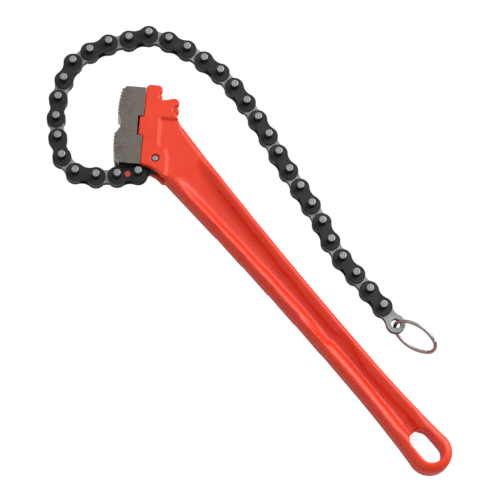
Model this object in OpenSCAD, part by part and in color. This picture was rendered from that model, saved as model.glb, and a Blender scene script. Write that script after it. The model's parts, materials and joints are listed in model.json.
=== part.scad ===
// Chain pipe wrench: a forged handle with a slotted, horned head, a toothed jaw insert held by the
// anchor pin, and a leaf chain that ends in a pull ring. It lies on its flat side.
// X runs along the handle from the jaw to the eye, Z is square to the flat side, z = 0 is the
// middle plane, and the origin is the pipe seat between the two toothed lobes of the jaw.

/* [Handle] */
// Distance along the handle from the anchor pin to the centre of the eye
eye_x = 240; // [200:1:300]
// Radius of the edge arcs from the waist to the eye
eye_arc = 700; // [500:10:900]
// Distance along the handle from the anchor pin to the waist of the shank
waist_x = 178; // [140:1:190]
// Width of the shank at its waist
waist_w = 20; // [17:0.25:22.5]
// Distance along the handle from the anchor pin to the start of the recess
neck_x = 17; // [15:0.5:24]
// Length of the run-out at the start of the recess
run_l = 34; // [26:1:45]
// Radius of the edge arcs from the waist to the head
neck_arc = 3060; // [2400:10:4000]
// Distance from the anchor pin to the centre line of the shank
shank_y = 11; // [10:0.25:12]
// Thickness over the two rails
rail_t = 15; // [13:0.25:16.5]
// Rounding of the rails' outer edges
rail_r = 4.3; // [3:0.1:5]
// Rounding of the rails' inner edges
crest_r = 1.8; // [1.2:0.1:2.2]
// Thickness of the web in the recess
web_t = 5; // [3:0.25:7]
// Length of the hang hole
hang_l = 22.8; // [18:0.2:30]
// Width of the hang hole
hang_w = 13.2; // [12.6:0.2:14]
// Thickness of the eye beyond the hang hole
hang_rim = 5.3; // [4:0.1:7]

/* [Head] */
// Turn of the jaw away from square to the handle
head_turn = 46.5; // [40:0.5:52]
// Thickness of the head over the raised cheeks
head_t = 17.5; // [17:0.1:20]
// Distance from the anchor pin to the face that the jaw sits on
head_back = 8.7; // [8:0.1:10]
// Height of the upper horn above the anchor pin
horn_h = 47.2; // [44:0.2:50]
// Height of the tongue that keys the jaw
tongue_h = 12; // [9:0.25:13]
// Reach of the tongue into the jaw
tongue_d = 2.6; // [2:0.1:4]
// Room in the jaw's keyway beyond the tongue
key_room = 0.8; // [0.4:0.1:1.5]
// Clearance of a chain pin in its seat under a horn
seat_clear = 0.2; // [0.1:0.05:0.5]
// Side clearance of the chain between the cheeks
slot_clear = 0.5; // [0.4:0.05:0.8]

/* [Jaw] */
// Height of the pipe seat above the anchor pin
seat_v = 20.2; // [19:0.1:22]
// Depth of the jaw from its back to the pipe seat
seat_depth = 13.4; // [11:0.1:16]
// Height of the upper lobe's crest over the pipe seat
upper_h = 2.4; // [1.5:0.1:3.5]
// Height of the lower lobe's crest over the pipe seat
lower_h = 3.5; // [2.5:0.1:4.5]
// Radius of each toothed lobe
lobe_r = 56; // [45:1:80]
// Distance from the pipe seat to the crest of the upper lobe
upper_off = 10.2; // [9:0.1:11]
// Distance from the pipe seat to the crest of the lower lobe
lower_off = 9.8; // [9:0.1:11]
// Number of teeth on each lobe
tooth_n = 8; // [5:1:10]
// Spacing of the teeth along a lobe
tooth_pitch = 2.26; // [1.8:0.02:2.3]
// Depth of the teeth
tooth_d = 1.15; // [0.6:0.05:1.3]
// Width of the flat at the pipe seat
seat_flat = 3.2; // [2:0.1:4]
// Setback of the jaw's outer corners from the crests of the lobes
corner_set = 4.3; // [3:0.1:6]
// Half length of the jaw, from the pipe seat to its ends
jaw_half = 24.8; // [23:0.1:27]
// Gap between the jaw and the head
jaw_gap = 0.2; // [0.1:0.05:0.5]

/* [Chain] */
// Distance between neighbouring pins
pitch = 12.7; // [12:0.1:14]
// Width of a plate over its round ends
lobe_d = 11.5; // [10:0.1:11.8]
// Width of a plate at its waist
plate_waist = 8.3; // [7:0.1:9.5]
// Thickness of an inner plate
inner_t = 1.9; // [1.5:0.05:2]
// Thickness of an outer plate
outer_t = 1.6; // [1.2:0.05:1.8]
// Gap between plates that lie side by side
lap = 0.1; // [0.06:0.02:0.2]
// Diameter of a chain pin
pin_d = 4.4; // [3.8:0.1:4.8]
// Edge break on a pin end
pin_chamfer = 0.4; // [0.2:0.05:0.6]
// Diameter of the anchor pin
anchor_d = 4.8; // [4.4:0.1:5.2]
// Depth of the anchor pin ends below the cheeks
anchor_sunk = 0.7; // [0.3:0.1:1]
// Diameter of the turned tips of the anchor pin
tip_d = 3.4; // [2.8:0.1:3.8]
// Radial running clearance of the inner plates on their pins
run_fit = 0.05; // [0.02:0.01:0.08]
// Diameter of the coloured marker plug in the first outer link
marker_d = 4; // [3:0.1:4.4]
// Height of the marker plug above its plate
marker_h = 0.9; // [0.5:0.1:1.5]

/* [Pull ring] */
// Half length of the ring, at the middle of the wire
ring_a = 13.6; // [11:0.1:16]
// Half width of the ring, at the middle of the wire
ring_b = 8.6; // [7.5:0.1:9]
// Diameter of the ring's wire
ring_wire = 1.8; // [1.4:0.1:2]
// Diameter of the ring's hole in the end link
ring_hole = 5.8; // [5.4:0.1:6.4]
// Turn of the ring away from the end link
ring_turn = 20; // [-20:1:40]
// Lean of the ring out of the flat
ring_lean = 57; // [50:1:62]

/* [Hidden] */
$fn = 64;
LINKS = 33;
OUTERS = 16;
INNERS = 15;
far = 60;
bite = 0.5;
fillet_sink = 0.1;

// Lay of the chain: its first heading, then the turn at each pin in whole degrees
first_heading = -92;
turns = [
    -29, -6, -14, -38, -28, -7, -10, -10,    // down from the anchor and round to the left
    -10, -29, -10, -14, 3, -32, -10, -8,     // up and over the jaw
    -4, -9, -7, -3, -2, -3, 2, 2,            // down beside the head
    0, -2, -6, 8, 7, 0, 0, -2                // along the handle to the ring
];

// The anchor pin, from the pipe seat at the origin
seat_u = -head_back - jaw_gap - seat_depth;
anchor = -[seat_u * cos(head_turn) - seat_v * sin(head_turn),
           seat_u * sin(head_turn) + seat_v * cos(head_turn)];

// Shank: its edges are arcs that meet at the waist, and a circle closes them at the eye
waist_r = waist_w / 2;
eye_r = half_width(eye_x, eye_arc);
crest_flat = 0.2;
crest_in = rail_r + crest_flat / 2;
rail_w = rail_r + crest_flat + crest_r;
rail_fillet = rail_t / 2 - crest_r - web_t / 2;
rim_grow = 0.15;
rim_lap = ceil(arc_angle(eye_x, eye_arc)) + 2;
overrun = 1;
arc_fn = 1440;

// Run into the head: ends of the lower and the upper rail, where the flats leave the upper edge
// and where they reach its crest, and the step of the flats below the crests
rail_end = [4, -12];
flats_run = [-10, 4];
crest_step = 0.1;
flat_t = rail_t - 2 * crest_step;

// Chain layers, from the middle plane outwards
inner_z = lap / 2;
outer_z = inner_z + inner_t + lap;
chain_top = outer_z + outer_t;
slot_w = 2 * (chain_top + slot_clear);
pin_r = pin_d / 2;
lobe_rad = lobe_d / 2;
tip_h = 0.5;

// Head, in a frame at the anchor pin with v along the jaw
pin_seat_r = pin_r + seat_clear;
horn_r = 3;
horn_drop = 7.9;
seat_drop = 7;
horn_1 = [-1.6, horn_h - horn_r];
horn_2 = [9.1, horn_1[1] - horn_drop];
seat_1 = [1.9, horn_h - seat_drop];
seat_2 = [10.8, seat_1[1] - horn_drop];
valley = seat_1 + [1.5, -pin_seat_r];
ridge = horn_2 + [-0.8, horn_r];
throat = seat_2 - [0.3, 2.6];
slot_floor = seat_2[1] - lobe_rad - slot_clear;
tongue_v = slot_floor - tongue_h;
foot = [-head_back, -4.8];
underside_y = -3.8;
underside_r = 20;
underside = [11, underside_y - underside_r];
boss_u = 1.3;
boss_r = 7.2;
boss_blend = 3.3;
boss_ease = 0.4;
swing_r = lobe_rad + 2 * slot_clear;

// Jaw
jaw_back = -head_back - jaw_gap;
upper_u = seat_u - upper_h;
lower_u = seat_u - lower_h;
tooth_step = 2 * asin(tooth_pitch / (2 * lobe_r));
lead_n = 2; // teeth between the pipe seat and the crest of a lobe
jaw_foot_v = seat_v - jaw_half;
jaw_head_v = seat_v + jaw_half;
groove_v = 1;
ear_r = swing_r - slot_clear;
ear_z = inner_z + inner_t + 2 * lap;
ear_t = slot_w / 2 - lap - ear_z;

// Pull ring: end arcs and side arcs that meet at a whole angle
ring_joint = 54;
ring_lap = 2;
ring_step = 0.04;
arc_gap = (ring_a - ring_b) / (sin(ring_joint) + cos(ring_joint) - 1);
ring_end_r = ring_a - arc_gap * cos(ring_joint);
ring_side_r = ring_end_r + arc_gap;

// Half width of the shank where a circle at x meets an edge arc, and the turn of the arc up to x
function half_width(x, arc) = norm([x - waist_x, arc + waist_r]) - arc;
function arc_angle(x, arc) = atan2(abs(x - waist_x), arc + waist_r);
function shank_edge(x, side, inset) = [x, shank_y + side * (half_width(x, neck_arc) - inset)];
function from_head(p) = [p[0] * cos(head_turn) - p[1] * sin(head_turn),
                         p[0] * sin(head_turn) + p[1] * cos(head_turn)];
function heading(k) = k == 0 ? first_heading : heading(k - 1) + turns[k - 1];
function pin_at(k) = k == 0 ? anchor
    : pin_at(k - 1) + pitch * [cos(heading(k - 1)), sin(heading(k - 1))];
function two(k) = k < 10 ? str("0", k) : str(k);

module at_anchor() {
    translate(anchor) children();
}

module in_head() {
    at_anchor() rotate(head_turn) children();
}

module both_faces() {
    for (side = [0, 1]) mirror([0, 0, side]) children();
}

module slab(height) {
    translate([0, 0, -height / 2]) linear_extrude(height) children();
}

// Section of a rail, from its outer edge at x = 0, with its fillets onto the web on the +x side
module rail_section(fillets = true, grow = 0) {
    width = rail_w + grow;
    height = rail_t / 2 + grow;
    translate([-grow, -height + rail_r]) square([width + grow, 2 * (height - rail_r)]);
    translate([rail_r - grow, -height]) square([width - crest_r - rail_r + grow, 2 * height]);
    translate([rail_r, -height + crest_r]) square([width - rail_r, 2 * (height - crest_r)]);
    for (side = [0, 1]) mirror([0, side]) {
        translate([rail_r - grow, height - rail_r]) circle(rail_r, $fn = 40);
        translate([width - crest_r, height - crest_r]) circle(crest_r, $fn = 40);
        if (fillets)
            translate([width - fillet_sink, web_t / 2 - fillet_sink]) difference() {
                translate([-bite, -bite]) square(rail_fillet + bite);
                translate([rail_fillet, rail_fillet]) circle(rail_fillet, $fn = 40);
            }
    }
}

// The rail on one edge, from the waist to x
module rail(side, x, arc) {
    translate([waist_x, shank_y]) mirror([0, side]) mirror([x > waist_x ? 0 : 1, 0])
        translate([0, waist_r + arc]) rotate(-90)
            rotate_extrude(angle = arc_angle(x, arc), $fn = arc_fn)
                translate([arc, 0]) rail_section();
}

// The rim that closes the rails round the eye
module eye_rim() {
    translate([eye_x, shank_y]) rotate(-90 - rim_lap)
        rotate_extrude(angle = 180 + 2 * rim_lap, $fn = 96)
            translate([eye_r, 0]) mirror([1, 0]) rail_section(false, rim_grow);
}

// Ground between the crests of the rails
module recess_plan() {
    half = [half_width(neck_x - overrun, neck_arc), waist_r, eye_r];
    stations = [neck_x - overrun, waist_x, eye_x];
    polygon(concat(
        [for (i = [0 : 2]) [stations[i], shank_y + half[i] - crest_in]],
        [for (i = [2 : -1 : 0]) [stations[i], shank_y - half[i] + crest_in]]
    ));
}

module web() {
    slab(web_t) {
        recess_plan();
        translate([eye_x, shank_y]) circle(eye_r - crest_in);
    }
}

// Hollow slope from the flats of the head down to the web
module run_out() {
    drop = (flat_t - web_t) / 2 + fillet_sink;
    hollow = (run_l * run_l + drop * drop) / (2 * drop);
    both_faces() intersection() {
        linear_extrude(flat_t / 2) recess_plan();
        translate([neck_x + run_l, shank_y + far / 2, 0]) rotate([90, 0, 0])
            linear_extrude(far) difference() {
                translate([-run_l - overrun, 0]) square([run_l + overrun, flat_t / 2]);
                translate([0, flat_t / 2 - drop + hollow]) circle(hollow, $fn = 360);
            }
    }
}

module hang_hole() {
    reach = (hang_l - hang_w) / 2;
    centre_x = eye_x + eye_r - hang_rim - hang_l / 2;
    slab(far) translate([centre_x, shank_y]) {
        square([2 * reach, hang_w], center = true);
        for (s = [-1, 1]) translate([s * reach, 0]) circle(d = hang_w);
    }
}

// Side view of the head: back face, two horns with their pin seats, and the run into the shank
module head_plan() {
    difference() {
        union() {
            rotate(head_turn) {
                polygon([
                    foot, [-head_back, horn_1[1]], [horn_r - head_back, horn_h],
                    [horn_1[0], horn_h], horn_1, seat_1 + [-pin_seat_r, pin_seat_r], seat_1,
                    valley, ridge, horn_2, seat_2, throat, [boss_r, foot[1]]
                ]);
                for (centre = [[horn_r - head_back, horn_h - horn_r], horn_1, horn_2])
                    translate(centre) circle(horn_r);
            }
            polygon([
                from_head(foot), from_head(throat),
                shank_edge(flats_run[0], 1, crest_step), shank_edge(flats_run[1], 1, crest_in),
                shank_edge(neck_x, 1, crest_in), shank_edge(neck_x, -1, crest_in),
                [underside[0], underside_y - bite]
            ]);
        }
        rotate(head_turn) for (seat = [seat_1, seat_2]) translate(seat) circle(pin_seat_r);
        translate(underside) circle(underside_r);
    }
}

// Raised part of each cheek: the strip behind the jaw, the horns, and the ground round the pin
module boss_plan() {
    translate([-far, -far]) square([far + boss_u, 2 * far]);
    translate([-far, slot_floor]) square([2 * far, far]);
    circle(boss_r);
    translate([0, -far]) square([boss_r, far]);
    difference() {
        polygon([[boss_u - bite, boss_r + boss_blend], [boss_u - bite, 0], [boss_r, 0],
                 [boss_u + boss_blend, boss_r + boss_blend]]);
        translate([boss_u + boss_blend, boss_r + boss_blend - boss_ease]) circle(boss_blend);
    }
}

module swing_plan() {
    circle(swing_r);
    translate([-far, -far]) square([far, far + swing_r]);
    translate([0, -far]) square([swing_r, far]);
}

module handle() {
    color("orangered") difference() {
        at_anchor() {
            for (side = [0, 1]) {
                rail(side, rail_end[1 - side], neck_arc);
                rail(side, eye_x + overrun, eye_arc);
            }
            eye_rim();
            web();
            run_out();
            slab(flat_t) head_plan();
            slab(head_t) intersection() {
                head_plan();
                rotate(head_turn) boss_plan();
            }
            rotate(head_turn) slab(head_t)
                translate([-head_back - tongue_d, tongue_v]) square([tongue_d + bite, tongue_h]);
        }
        at_anchor() hang_hole();
        in_head() slab(slot_w) translate([-far, slot_floor]) square([2 * far, far]);
        in_head() slab(slot_w) swing_plan();
        at_anchor() cylinder(d = anchor_d, h = far, center = true);
    }
}

// A point of a toothed lobe, from the pipe seat outwards: roots at even steps and tips at odd ones
function tooth(k, crest_u, crest_v, side) =
    let (turn = (k / 2 - lead_n) * tooth_step, reach = k % 2 == 1 ? lobe_r : lobe_r - tooth_d)
        [crest_u + lobe_r - reach * cos(turn), crest_v + side * reach * sin(turn)];

module jaw_plan() {
    difference() {
        polygon(concat(
            [[jaw_back, jaw_foot_v], [jaw_back, jaw_head_v], [upper_u + corner_set, jaw_head_v]],
            [for (k = [2 * tooth_n : -1 : 0]) tooth(k, upper_u, seat_v + upper_off, 1)],
            [[seat_u, seat_v + seat_flat / 2], [seat_u, seat_v - seat_flat / 2]],
            [for (k = [0 : 2 * tooth_n]) tooth(k, lower_u, seat_v - lower_off, -1)],
            [[lower_u + corner_set, jaw_foot_v]]
        ));
        translate([jaw_back - tongue_d - key_room, tongue_v - jaw_gap])
            square([tongue_d + key_room + bite, tongue_h + jaw_gap + key_room / 2]);
    }
}

module jaw() {
    color("dimgray") in_head() {
        difference() {
            slab(head_t) jaw_plan();
            slab(slot_w) translate([-far, -far]) square([2 * far, far + groove_v]);
        }
        both_faces() translate([0, 0, ear_z]) difference() {
            linear_extrude(ear_t) {
                circle(ear_r);
                translate([jaw_back - bite, groove_v - bite])
                    square([-jaw_back + bite, ear_r - groove_v + bite]);
            }
            cylinder(d = anchor_d, h = far, center = true);
        }
    }
}

module pin(diameter, length) {
    both_faces() rotate_extrude() polygon([
        [0, 0], [diameter / 2, 0], [diameter / 2, length / 2 - pin_chamfer],
        [diameter / 2 - pin_chamfer, length / 2], [0, length / 2]
    ]);
}

module anchor_pin() {
    length = head_t - 2 * anchor_sunk;
    color("silver") at_anchor() {
        pin(anchor_d, length - 2 * tip_h);
        cylinder(d = tip_d, h = length, center = true);
    }
}

// Figure-eight plate along x from one pin to the next, with a bore at each end
module plate(thickness, near_d, far_d) {
    half = plate_waist / 2;
    waist_arc = (pitch * pitch / 4 + half * half - lobe_rad * lobe_rad) / (2 * (lobe_rad - half));
    share = lobe_rad / (lobe_rad + waist_arc);
    touch = [pitch / 2 * share, (half + waist_arc) * share];
    linear_extrude(thickness) difference() {
        union() {
            for (x = [0, pitch]) translate([x, 0]) circle(lobe_rad);
            polygon([[0, 0], touch, [pitch - touch[0], touch[1]], [pitch, 0],
                     [pitch - touch[0], -touch[1]], [touch[0], -touch[1]]]);
        }
        for (s = [-1, 1]) translate([pitch / 2, s * (half + waist_arc)]) circle(waist_arc);
        circle(d = near_d);
        translate([pitch, 0]) circle(d = far_d);
    }
}

module on_link(k) {
    translate(pin_at(k)) rotate(heading(k)) children();
}

module inner_pair(k, near_d, far_d) {
    on_link(k) both_faces() translate([0, 0, inner_z])
        plate(inner_t, near_d + 2 * run_fit, far_d + 2 * run_fit);
}

module anchor_link() {
    color("dimgray") inner_pair(0, anchor_d, pin_d);
}

module end_link() {
    color("silver") inner_pair(LINKS - 1, pin_d, ring_hole - 2 * run_fit);
}

module inner_plates(i) {
    color("gray") inner_pair(2 * i, pin_d, pin_d);
}

module outer_plates(i) {
    color("#303236") difference() {
        on_link(2 * i - 1) both_faces() translate([0, 0, outer_z]) plate(outer_t, pin_d, pin_d);
        if (i == 1) on_link(1) translate([pitch / 2, 0, 0]) cylinder(d = marker_d, h = far);
    }
}

module link_pins(i) {
    color("silver") on_link(2 * i - 1)
        for (x = [0, pitch]) translate([x, 0, 0]) pin(pin_d, head_t);
}

// Coloured plug pressed into the upper plate of the first outer link, with a domed top
module marker_plug() {
    radius = marker_d / 2;
    dome = (radius * radius + marker_h * marker_h) / (2 * marker_h);
    color("tomato") on_link(1) translate([pitch / 2, 0, outer_z]) rotate_extrude() {
        square([radius, outer_t]);
        intersection() {
            translate([0, outer_t + marker_h - dome]) circle(dome);
            translate([0, outer_t]) square([radius, marker_h]);
        }
    }
}

// Arc of round wire about z, as far on each side of x
module wire_arc(radius, turn, wire) {
    rotate(-turn) rotate_extrude(angle = 2 * turn) translate([radius, 0]) circle(d = wire, $fn = 32);
}

// Oval ring of round wire, leaning, with one end through the end link's hole
module pull_ring() {
    color("gainsboro") on_link(LINKS - 1) translate([pitch, 0, 0])
        rotate(ring_turn) rotate([ring_lean, 0, 0]) translate([ring_a, 0, 0])
            for (half = [0, 180]) rotate(half) {
                translate([ring_a - ring_end_r, 0, 0])
                    wire_arc(ring_end_r, ring_joint + ring_lap, ring_wire);
                rotate(90) translate([ring_b - ring_side_r, 0, 0])
                    wire_arc(ring_side_r, 90 - ring_joint + ring_lap / 2, ring_wire - 2 * ring_step);
            }
}

handle();
jaw();
anchor_pin();
anchor_link();
end_link();
marker_plug();
pull_ring();
for (i = [1 : OUTERS]) {
    outer_plates(i);
    link_pins(i);
}
for (i = [1 : INNERS])
    inner_plates(i);
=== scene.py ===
import json
import math

import bmesh
import bpy
from mathutils import Matrix, Vector


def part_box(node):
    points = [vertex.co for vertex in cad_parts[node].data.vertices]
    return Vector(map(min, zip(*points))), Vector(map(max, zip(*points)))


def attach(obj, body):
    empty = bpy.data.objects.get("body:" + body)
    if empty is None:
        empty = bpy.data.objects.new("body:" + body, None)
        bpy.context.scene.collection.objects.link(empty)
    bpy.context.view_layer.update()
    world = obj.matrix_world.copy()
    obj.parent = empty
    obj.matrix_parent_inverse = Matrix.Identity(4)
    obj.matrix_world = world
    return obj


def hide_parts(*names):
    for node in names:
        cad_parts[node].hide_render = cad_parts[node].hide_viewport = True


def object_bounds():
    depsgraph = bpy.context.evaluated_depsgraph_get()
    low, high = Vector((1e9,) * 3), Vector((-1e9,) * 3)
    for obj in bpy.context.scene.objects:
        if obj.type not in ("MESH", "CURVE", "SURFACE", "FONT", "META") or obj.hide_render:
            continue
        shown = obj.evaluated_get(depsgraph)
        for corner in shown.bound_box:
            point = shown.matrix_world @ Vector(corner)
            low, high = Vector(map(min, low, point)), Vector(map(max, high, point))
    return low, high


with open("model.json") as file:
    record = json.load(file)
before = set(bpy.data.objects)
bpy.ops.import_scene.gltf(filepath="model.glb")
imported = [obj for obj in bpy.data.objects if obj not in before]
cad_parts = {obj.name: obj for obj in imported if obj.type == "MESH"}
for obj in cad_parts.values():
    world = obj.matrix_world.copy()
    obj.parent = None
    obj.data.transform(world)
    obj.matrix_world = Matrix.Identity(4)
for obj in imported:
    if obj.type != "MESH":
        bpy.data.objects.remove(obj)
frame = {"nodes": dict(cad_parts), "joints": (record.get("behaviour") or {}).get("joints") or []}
cad_box = [list(corner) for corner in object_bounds()]


# Handle
# One drop forging with a channelled shank, a hanging eye and a slotted, horned head. The flash is
# ground off, and the whole piece is dipped in a glossy orange-red enamel that rounds every edge.

mm = 0.001


def work_on(piece):
    """Selects one piece alone and makes it the active one."""
    bpy.ops.object.select_all(action="DESELECT")
    piece.select_set(True)
    bpy.context.view_layer.objects.active = piece


def copy_of(node, name):
    """A welded copy of a solid, to be worked into the finished piece."""
    piece = frame["nodes"][node].copy()
    piece.data = piece.data.copy()
    piece.name = name
    piece.data.name = name
    piece.parent = None
    for key in list(piece.keys()):
        del piece[key]
    bpy.context.scene.collection.objects.link(piece)
    work_on(piece)
    bpy.ops.object.mode_set(mode="EDIT")
    bpy.ops.mesh.select_all(action="SELECT")
    bpy.ops.mesh.remove_doubles(threshold=0.002 * mm)
    bpy.ops.object.mode_set(mode="OBJECT")
    return piece


def finish_with(piece, kind, **settings):
    """Adds a modifier with its settings and applies it."""
    work_on(piece)
    bpy.ops.object.modifier_add(type=kind)
    modifier = piece.modifiers[-1]
    for name, value in settings.items():
        setattr(modifier, name, value)
    bpy.ops.object.modifier_apply(modifier=modifier.name)


def colour(red, green, blue):
    """A screen colour of 0 to 255 as the linear colour that a shader takes."""
    def linear(part):
        part = part / 255
        return part / 12.92 if part <= 0.04045 else ((part + 0.055) / 1.055) ** 2.4
    return (linear(red), linear(green), linear(blue), 1.0)


class Reading:
    """A value read over a surface. Arithmetic on it adds Math nodes to its material."""

    def __init__(self, tree, socket):
        self.tree = tree
        self.socket = socket

    def node(self, kind, sockets, settings=None, output=0):
        """A new node with its settings, then the values or links of its sockets."""
        made = self.tree.nodes.new(kind)
        for name, value in (settings or {}).items():
            if name == "stops":
                ramp = made.color_ramp.elements
                while len(ramp) < len(value):
                    ramp.new(1.0)
                for stop, (position, tone) in zip(ramp, value):
                    stop.position = position
                    stop.color = tone
            else:
                setattr(made, name, value)
        for key, value in sockets.items():
            if isinstance(value, Reading):
                self.tree.links.new(value.socket, made.inputs[key])
            else:
                made.inputs[key].default_value = value
        return Reading(self.tree, made.outputs[output]) if made.outputs else None

    def maths(self, operation, first, second):
        """One Math node on two values."""
        return self.node("ShaderNodeMath", {0: first, 1: second}, {"operation": operation})

    def __add__(self, other):
        return self.maths("ADD", self, other)

    def __sub__(self, other):
        return self.maths("SUBTRACT", self, other)

    def __rsub__(self, other):
        return self.maths("SUBTRACT", other, self)

    def __mul__(self, other):
        return self.maths("MULTIPLY", self, other)

    __radd__ = __add__
    __rmul__ = __mul__

    def noise(self, size, detail):
        """Cloudy noise from 0 to 1 whose lumps are about this size."""
        sockets = {"Vector": self, "Scale": 1 / size, "Detail": detail, "Roughness": 0.55}
        return self.node("ShaderNodeTexNoise", sockets)

    def turned(self, angle, scale):
        """These coordinates turned by an angle in the flat and scaled along each axis."""
        sockets = {"Vector": self, "Rotation": (0, 0, -angle), "Scale": scale}
        return self.node("ShaderNodeMapping", sockets)

    def ramp(self, *stops):
        """This value looked up on a row of (position, grey level) stops."""
        row = [(position, (level, level, level, 1.0)) for position, level in stops]
        return self.node("ShaderNodeValToRGB", {"Fac": self}, {"stops": row})

    def blend(self, low, high):
        """A colour that goes from low to high as this value goes from 0 to 1."""
        return self.node("ShaderNodeMix", {0: self, 6: low, 7: high}, {"data_type": "RGBA"}, 2)

    def edges(self):
        """0 in hollows, 0.5 on flats and 1 on sharp edges."""
        return self.node("ShaderNodeNewGeometry", {}, output="Pointiness")

    def normal(self):
        """The direction that the surface faces."""
        return self.node("ShaderNodeNewGeometry", {}, output="Normal")

    def height(self):
        """How far this point or direction reaches up or down from the middle plane."""
        upright = self.node("ShaderNodeSeparateXYZ", {"Vector": self}, output="Z")
        return self.maths("ABSOLUTE", upright, 0.0)

    def along(self, direction):
        """How far this point or direction reaches along another direction."""
        sockets = {0: self, 1: direction}
        return self.node("ShaderNodeVectorMath", sockets, {"operation": "DOT_PRODUCT"}, "Value")


def new_finish(name):
    """A new material, and the place on the surface that its patterns are read from."""
    material = bpy.data.materials.new(name)
    material.use_nodes = True
    tree = material.node_tree
    tree.nodes.clear()
    place = tree.nodes.new("ShaderNodeTexCoord")
    return material, Reading(tree, place.outputs["Object"])


def close_finish(place, bumps, **surface):
    """Ends a material: its bumps as (height, depth) pairs, then the values of its surface."""
    normal = None
    for height, depth in bumps:
        raised = {"Height": height, "Distance": depth, "Strength": 1.0}
        if normal is not None:
            raised["Normal"] = normal
        normal = place.node("ShaderNodeBump", raised)
    sockets = {name.replace("_", " "): value for name, value in surface.items()}
    sockets["Normal"] = normal
    shader = place.node("ShaderNodeBsdfPrincipled", sockets)
    place.node("ShaderNodeOutputMaterial", {"Surface": shader})


def dress(piece, material, body, slot, *nodes):
    """Gives a finished piece its material, its body and the solids that it stands for."""
    piece.data.materials.clear()
    piece.data.materials.append(material)
    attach(piece, body)
    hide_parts(*nodes)


deep_red, orange_red = colour(240, 50, 14), colour(248, 62, 18)
painted_shade_crimson = colour(186, 16, 36)

enamel, place = new_finish("red_enamel")
flow = place.noise(22 * mm, detail=3)
mottle = place.noise(4 * mm, detail=5)
peel = place.noise(1.1 * mm, detail=2)
# Painted shade: hollows and creases are darkened towards crimson by their pointiness
painted_hollow_shade = place.edges().ramp((0.43, 1.0), (0.497, 0.0))
patches = (flow * 0.6 + mottle * 0.4).ramp((0.35, 0.0), (0.65, 1.0))
body_red = patches.blend(deep_red, orange_red)
close_finish(
    place,
    [(flow, 0.045 * mm), (mottle, 0.010 * mm), (peel, 0.002 * mm)],
    Base_Color=(painted_hollow_shade * 0.55).blend(body_red, painted_shade_crimson),
    Roughness=mottle * 0.10 + 0.36,
    Coat_Weight=0.08,
    Coat_Roughness=0.2,
)

handle = copy_of("handle", "handle_forging")
finish_with(handle, "REMESH", mode="VOXEL", voxel_size=0.5 * mm, use_smooth_shade=True)
finish_with(handle, "SMOOTH", factor=0.5, iterations=4)

# The dies leave the shank and the step of the cheeks softer than the horns, and the recess softest.
# Places are measured from the anchor pin, which the first link turns on
pivots = [Vector(joint["pos_m"]) for joint in frame["joints"] if joint["name"].startswith("link_")]
anchor = pivots[0]
head_turn = math.radians(46.5)
cheek_step = -4 * mm
horn_foot = 29 * mm
bore_rim = 4.2 * mm
recess_start, recess_end = 14 * mm, 218 * mm
below_crests = 7.2 * mm
shank_middle = 11 * mm

soft_forms = handle.vertex_groups.new(name="soft_forms")
recess = handle.vertex_groups.new(name="recess")
for vertex in handle.data.vertices:
    away = vertex.co - anchor
    out = away.x * math.cos(head_turn) + away.y * math.sin(head_turn)
    up_head = away.y * math.cos(head_turn) - away.x * math.sin(head_turn)
    at_bore = math.hypot(away.x, away.y) < bore_rim
    if out > cheek_step and up_head < horn_foot and not at_bore:
        soft_forms.add([vertex.index], 1.0, "REPLACE")
    lies_flat = abs(vertex.normal.z) > 0.6
    faces_middle = (away.y - shank_middle) * vertex.normal.y < 0
    in_recess = recess_start < away.x < recess_end and abs(vertex.co.z) < below_crests
    if in_recess and (lies_flat or faces_middle):
        recess.add([vertex.index], 1.0, "REPLACE")

# The recess is drawn wide between slim rails, inside the sides of each millimetre of the shank
widening = 0.13
widen_start, start_run = 16 * mm, 16 * mm
widen_end, end_run = 226 * mm, 10 * mm

slices = {}
for vertex in handle.data.vertices:
    slices.setdefault(round(vertex.co.x / mm), []).append(vertex.co.y)
sides = {station: (min(across), max(across)) for station, across in slices.items()}
for vertex in handle.data.vertices:
    from_pin = vertex.co.x - anchor.x
    started = (from_pin - widen_start) / start_run
    unfinished = (widen_end - from_pin) / end_run
    drawn = widening * max(0.0, min(1.0, started, unfinished))
    near_side, far_side = sides[round(vertex.co.x / mm)]
    middle, half = (near_side + far_side) / 2, (far_side - near_side) / 2
    vertex.co.y += drawn * half * math.sin(math.pi * (vertex.co.y - middle) / half)

finish_with(handle, "SMOOTH", factor=0.5, iterations=6, vertex_group="soft_forms")
finish_with(handle, "SMOOTH", factor=0.5, iterations=80, vertex_group="recess")
finish_with(handle, "DECIMATE", ratio=0.75)
handle.vertex_groups.clear()
dress(handle, enamel, "handle_body", "red_paint", "handle")


# Jaw
# A hardened steel insert with two toothed lobes. It is ground flat on both faces, keyed by the
# tongue of the head and carried by the anchor pin. The teeth are cut bright after hardening.

def break_edges(piece, width, sharp_angle):
    """Clears the triangles off the flats and breaks every sharp edge."""
    work_on(piece)
    bpy.ops.object.mode_set(mode="EDIT")
    bpy.ops.mesh.select_all(action="SELECT")
    bpy.ops.mesh.dissolve_limited(angle_limit=math.radians(1))
    bpy.ops.object.mode_set(mode="OBJECT")
    finish_with(
        piece, "BEVEL", width=width, segments=2, limit_method="ANGLE",
        angle_limit=math.radians(sharp_angle),
    )
    bpy.ops.object.shade_smooth_by_angle(angle=math.radians(sharp_angle))
    finish_with(piece, "WEIGHTED_NORMAL", keep_sharp=True)


dark_grey, pale_grey = colour(100, 95, 88), colour(136, 129, 121)
heat_brown = colour(82, 64, 48)
painted_jaw_wall_shade, painted_jaw_rim_shade = colour(34, 31, 29), colour(56, 52, 48)
painted_rim_highlight, bright_teeth = colour(205, 196, 188), colour(228, 228, 226)
towards_pipe = Vector((-math.cos(head_turn), -math.sin(head_turn), 0))
long_scratches = (1.0, 0.05, 1.0)
stain_at_seat, stain_rise = 0.75, 0.09 / mm

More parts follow.
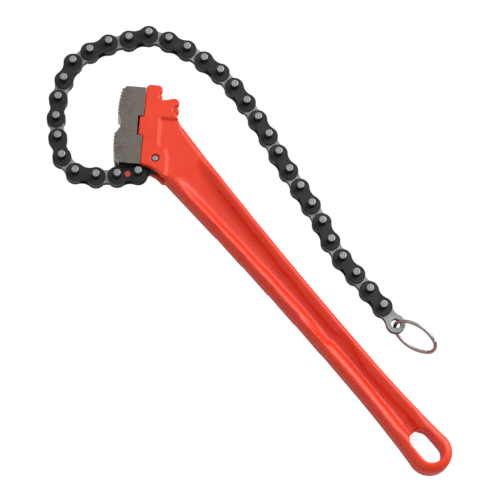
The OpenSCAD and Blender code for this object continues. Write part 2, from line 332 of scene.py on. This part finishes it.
steel, place = new_finish("jaw_steel")
grain = place.turned(head_turn, long_scratches).noise(0.35 * mm, detail=3)
cloud = place.noise(7 * mm, detail=5)
speck = place.noise(1.2 * mm, detail=4)
lying = place.normal().height()
walls = lying.ramp((0.20, 1.0), (0.40, 0.0))
rims = lying.ramp((0.25, 0.0), (0.45, 1.0), (0.90, 1.0), (0.98, 0.0))
ground = walls * place.normal().along(towards_pipe).ramp((0.20, 0.0), (0.35, 1.0))
# Painted highlight: the broken edges that face back, away from the pipe, are made pale
painted_highlight_rims = rims * place.normal().along(-towards_pipe).ramp((0.25, 0.0), (0.45, 1.0))
by_teeth = (place.along(towards_pipe) * stain_rise + stain_at_seat).ramp((0.0, 0.25), (0.95, 1.0))
stain = (cloud * 0.6 + speck * 0.4).ramp((0.47, 0.0), (0.60, 1.0)) * by_teeth
streaks = (grain * 0.7 + cloud * 0.3).ramp((0.3, 0.0), (0.7, 1.0))
jaw_tone = (stain * 0.7).blend(streaks.blend(dark_grey, pale_grey), heat_brown)
# Painted shade: the upright walls of the jaw are made nearly black, then the toothed walls are made
# bright
jaw_tone = walls.blend(jaw_tone, painted_jaw_wall_shade)
# Painted shade: the broken edges of the jaw are made dark
jaw_tone = rims.blend(jaw_tone, painted_jaw_rim_shade)
# Painted highlight on the back edges
jaw_tone = painted_highlight_rims.blend(jaw_tone, painted_rim_highlight)
close_finish(
    place,
    [(cloud, 0.05 * mm), (grain, 0.02 * mm)],
    Base_Color=ground.blend(jaw_tone, bright_teeth),
    Metallic=ground * 0.4 + 0.6,
    Roughness=speck * 0.2 + 0.42 - ground * 0.25,
)

jaw = copy_of("jaw", "toothed_jaw")
break_edges(jaw, width=0.3 * mm, sharp_angle=30)
dress(jaw, steel, "handle_body", "jaw_steel", "jaw")


# Anchor pin
# A turned steel cross pin through both cheeks and the ears of the jaw. Each end is turned down to a
# tip that stands in a shoulder, a little below the face of the cheek. The shoulder is coloured
# black, partly for blackened steel and partly as painted shade.

def pick_ends(piece):
    """Selects the two flat ends of a pin, in edit mode."""
    mesh = bmesh.from_edit_mesh(piece.data)
    for face in mesh.faces:
        face.select_set(False)
    for face in mesh.faces:
        if abs(face.normal.z) > 0.99:
            face.select_set(True)
    bmesh.update_edit_mesh(piece.data)


def turned_pin(name, centre, radius, length, edge_break, end_steps):
    """A turned pin with broken ends, and steps cut into each end as (inset, rise) pairs."""
    bpy.ops.object.select_all(action="DESELECT")
    bpy.ops.mesh.primitive_cylinder_add(vertices=40, radius=radius, depth=length, location=centre)
    piece = bpy.context.object
    piece.name = name
    bpy.ops.object.transform_apply(location=True, rotation=False, scale=False)
    bpy.ops.object.mode_set(mode="EDIT")
    bpy.ops.mesh.select_mode(type="FACE")
    pick_ends(piece)
    bpy.ops.mesh.bevel(offset=edge_break, segments=3, affect="EDGES")
    pick_ends(piece)
    for inset, rise in end_steps:
        bpy.ops.mesh.inset(thickness=inset * mm, depth=rise * mm, use_individual=True)
    bpy.ops.object.mode_set(mode="OBJECT")
    bpy.ops.object.shade_smooth_by_angle(angle=math.radians(35))
    return piece


def pin_finish(name, bright_above):
    """Blackened pin steel that is ground bright on its ends, above a height. The black below that
    height is also painted shade on the sides.
    """
    dull_end, bright_end = colour(146, 147, 149), colour(186, 187, 188)
    hollow_grey = colour(52, 51, 50)
    shaded_oxide_low, shaded_oxide_high = colour(16, 16, 17), colour(30, 30, 32)
    material, place = new_finish(name)
    haze = place.noise(1.5 * mm, detail=4)
    dust = place.noise(0.3 * mm, detail=3)
    # Darker in the hollows of the stepped ends, by their pointiness
    darker_hollows = place.edges().ramp((0.40, 1.0), (0.49, 0.0))
    # Painted shade: below the bright ends the pin is made black, for blackened steel and for the
    # shade on its sides
    ends = (place.height() * (1 / mm) - bright_above / mm).ramp((0.0, 0.0), (0.06, 1.0))
    bright = (darker_hollows * 0.9).blend(haze.blend(dull_end, bright_end), hollow_grey)
    black = dust.blend(shaded_oxide_low, shaded_oxide_high)
    close_finish(
        place,
        [(haze, 0.03 * mm), (dust, 0.006 * mm)],
        Base_Color=ends.blend(black, bright),
        Metallic=ends * 0.7,
        Roughness=haze * 0.2 + 0.36,
    )
    return material


tip_height = 0.5 * mm
shouldered_tip = [(0.4, 0.0), (0.04, 0.4), (0.2, 0.1), (0.6, 0.0), (0.15, -0.15)]
low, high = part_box("anchor_pin")
anchor_pin = turned_pin(
    "anchor_pin_turned", anchor, radius=(high.x - low.x) / 2,
    length=high.z - low.z - 2 * tip_height, edge_break=0.3 * mm, end_steps=shouldered_tip,
)
anchor_steel = pin_finish("anchor_pin_steel", bright_above=7.75 * mm)
dress(anchor_pin, anchor_steel, "handle_body", "pin_steel", "anchor_pin")


# Chain plates
# Figure-eight plates stamped from strip, in pairs. The outer pairs are black oxide and oiled, and
# the inner pairs stay bare and lie between them. The sheared walls are painted dark, as painted
# shade.

def plate_finish(name, dark, light, painted_plate_wall_shade, metallic, roughness):
    """Stamped plate: two tones in clouds, fine grit, and painted shade on the sheared walls."""
    material, place = new_finish(name)
    cloud = place.noise(5 * mm, detail=5)
    grit = place.noise(0.5 * mm, detail=3)
    # Painted shade: the upright walls take a dark colour and lose their metal
    walls = place.normal().height().ramp((0.45, 1.0), (0.75, 0.0))
    patches = (cloud * 0.5 + grit * 0.5).ramp((0.35, 0.0), (0.65, 1.0))
    close_finish(
        place,
        [(cloud, 0.05 * mm), (grit, 0.012 * mm)],
        Base_Color=walls.blend(patches.blend(dark, light), painted_plate_wall_shade),
        Metallic=(1 - walls) * metallic,
        Roughness=grit * 0.2 + roughness,
    )
    return material


def stamped_pair(node, link, material, slot):
    """The two plates of a link, with the edges that the press leaves."""
    plates = copy_of(node, node + "_stamped")
    break_edges(plates, width=0.28 * mm, sharp_angle=40)
    dress(plates, material, f"link_{link:02d}", slot, node)


oxide = plate_finish(
    "black_oxide", dark=colour(18, 19, 21), light=colour(42, 43, 47), painted_plate_wall_shade=colour(7, 7, 8),
    metallic=0.2, roughness=0.46,
)
bare = plate_finish(
    "bare_plate", dark=colour(140, 140, 140), light=colour(176, 176, 175), painted_plate_wall_shade=colour(40, 40, 41),
    metallic=0.6, roughness=0.40,
)

last_link = len(pivots)
stamped_pair("anchor_link", 1, oxide, "black_oxide")
stamped_pair("end_link", last_link, bare, "bright_plate")
for link in range(2, last_link):
    if link % 2 == 0:
        stamped_pair(f"outer_plates_{link // 2:02d}", link, oxide, "black_oxide")
    else:
        stamped_pair(f"inner_plates_{link // 2:02d}", link, bare, "bright_plate")


# Chain pins
# Two long turned pins are pressed through each outer pair and stand proud on both sides, so that
# they can hook under the horns of the head. Their ends are bare and lightly peened.

pin_radius = 2.2 * mm
peened_end = [(0.5, 0.0), (0.12, -0.2), (0.22, 0.0), (0.12, 0.14)]
pin_steel = pin_finish("chain_pin_steel", bright_above=8.45 * mm)

for link in range(2, last_link, 2):
    node = f"link_pins_{link // 2:02d}"
    low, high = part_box(node)
    pair = [
        turned_pin(
            node + "_turned", pivot, pin_radius, length=high.z - low.z, edge_break=0.4 * mm,
            end_steps=peened_end,
        )
        for pivot in (pivots[link - 1], pivots[link])
    ]
    bpy.ops.object.select_all(action="DESELECT")
    for pin in pair:
        pin.select_set(True)
    bpy.context.view_layer.objects.active = pair[0]
    bpy.ops.object.join()
    dress(pair[0], pin_steel, f"link_{link:02d}", "pin_steel", node)


# Marker plug
# A small plug with a low head, pressed into the upper plate of the first outer pair, where the
# chain leaves the head of the tool, and painted coral red.

faded_coral, coral = colour(222, 70, 62), colour(244, 112, 100)

marker_paint, place = new_finish("marker_paint")
blotch = place.noise(1.4 * mm, detail=4)
grit = place.noise(0.35 * mm, detail=2)
close_finish(
    place,
    [(blotch, 0.05 * mm), (grit, 0.01 * mm)],
    Base_Color=blotch.blend(faded_coral, coral),
    Roughness=blotch * 0.2 + 0.38,
)

marker = copy_of("marker_plug", "marker_plug_painted")
break_edges(marker, width=0.12 * mm, sharp_angle=40)
dress(marker, marker_paint, "link_02", "marker_red", "marker_plug")


# Pull ring
# An oval ring of round steel wire, bent, butt-welded and nickel plated. It hangs through the hole of
# the end link and is what the hand pulls the chain round a pipe with.

dull_nickel, clear_nickel = colour(152, 145, 144), colour(186, 178, 177)
wire_growth = 0.2 * mm

nickel, place = new_finish("polished_nickel")
haze = place.noise(3 * mm, detail=4)
scratch = place.noise(0.4 * mm, detail=3)
close_finish(
    place,
    [(haze, 0.02 * mm), (scratch, 0.004 * mm)],
    Base_Color=haze.blend(dull_nickel, clear_nickel),
    Metallic=1.0,
    Roughness=haze * 0.12 + 0.28,
)

ring = copy_of("pull_ring", "pull_ring_wire")
finish_with(ring, "DISPLACE", strength=wire_growth, mid_level=0.0)
bpy.ops.object.shade_smooth()
dress(ring, nickel, "ring", "nickel", "pull_ring")


# Floor, light and camera
# The tool lies on a white table under a large soft lamp at the upper right, with a weak lamp
# overhead and a broad weak fill at the lower left. The camera looks down on it from a little below.

floor_z = cad_box[0][2]
bpy.ops.object.select_all(action="DESELECT")
bpy.ops.mesh.primitive_plane_add(size=12, location=(0.1, 0, floor_z))
floor = bpy.context.object
floor.name = "table"

# The table glows white to the camera and faintly in mirror images, except close under the tool and
# in narrow gaps, where an occlusion ramp takes the glow away as painted contact shadow and the lit
# cloth shows
white, cloth_grey = (1, 1, 1, 1), (0.6, 0.6, 0.6, 1)
glow_share, mirrored_share = 0.96, 0.18
contact_reach = 15 * mm

table = bpy.data.materials.new("white_table")
table.use_nodes = True
tree = table.node_tree
tree.nodes.clear()
ray = tree.nodes.new("ShaderNodeLightPath")
seen = Reading(tree, ray.outputs["Is Camera Ray"])
mirrored = Reading(tree, ray.outputs["Is Glossy Ray"])
through = Reading(tree, ray.outputs["Is Transmission Ray"])
open_sky = seen.node("ShaderNodeAmbientOcclusion", {"Distance": contact_reach}, output="AO")
# Painted contact shadow: the glow fades where the table is closed in under the tool
clear_of_contact_shadow = open_sky.ramp((0.06, 0.0), (0.30, 1.0))
cloth = seen.node("ShaderNodeBsdfDiffuse", {"Color": cloth_grey})
glow = seen.node("ShaderNodeEmission", {"Color": white, "Strength": 1.06})
share = (seen + through) * glow_share + mirrored * mirrored_share
shown = seen.maths("MINIMUM", share, glow_share) * clear_of_contact_shadow
mixed = seen.node("ShaderNodeMixShader", {0: shown, 1: cloth, 2: glow})
seen.node("ShaderNodeOutputMaterial", {"Surface": mixed})
floor.data.materials.append(table)

world = bpy.data.worlds.new("studio")
world.use_nodes = True
sky = world.node_tree.nodes["Background"]
sky.inputs["Color"].default_value = white
sky.inputs["Strength"].default_value = 0.31
bpy.context.scene.world = world

picture_turn = math.radians(50.1)
target = Vector((110.63, 9.34, 8.75)) * mm


def in_picture(right, up, height):
    """A direction given as right and up in the picture, and height above the table."""
    turned = Matrix.Rotation(picture_turn, 3, "Z") @ Vector((right, up, 0))
    return turned + Vector((0, 0, height))


def soft_lamp(name, direction, distance, size, power):
    """A round soft lamp that stands off the tool in a direction and shines at it."""
    lamp = bpy.data.lights.new(name, "AREA")
    lamp.shape = "DISK"
    lamp.size = size
    lamp.energy = power
    holder = bpy.data.objects.new(name, lamp)
    holder.location = target + direction.normalized() * distance
    holder.rotation_euler = direction.to_track_quat("Z", "Y").to_euler()
    bpy.context.scene.collection.objects.link(holder)


soft_lamp("key_lamp", in_picture(0.7, 0.45, 0.55), distance=1.2, size=1.2, power=15.0)
soft_lamp("top_lamp", in_picture(-0.25, 0.6, 1.0), distance=1.4, size=1.2, power=2.4)
soft_lamp("fill_lamp", in_picture(-0.6, -0.55, 0.55), distance=1.4, size=1.8, power=3.5)

view_tilt = math.radians(18.416)
view_side = math.radians(-99.614)
view_distance = 1.25
back = in_picture(math.sin(view_tilt) * math.cos(view_side),
                  math.sin(view_tilt) * math.sin(view_side), math.cos(view_tilt))
across = in_picture(0, 1, 0).cross(back).normalized()
upward = back.cross(across)
turn = Matrix((across, upward, back)).transposed().to_4x4()
camera = bpy.data.objects.new("camera", bpy.data.cameras.new("camera"))
camera.data.sensor_width = 36
camera.data.lens = 151.6
camera.data.clip_end = 20
camera.matrix_world = Matrix.Translation(target + back * view_distance) @ turn
bpy.context.scene.collection.objects.link(camera)
bpy.context.scene.camera = camera
bpy.context.scene.view_settings.view_transform = "Standard"

bpy.context.view_layer.update()
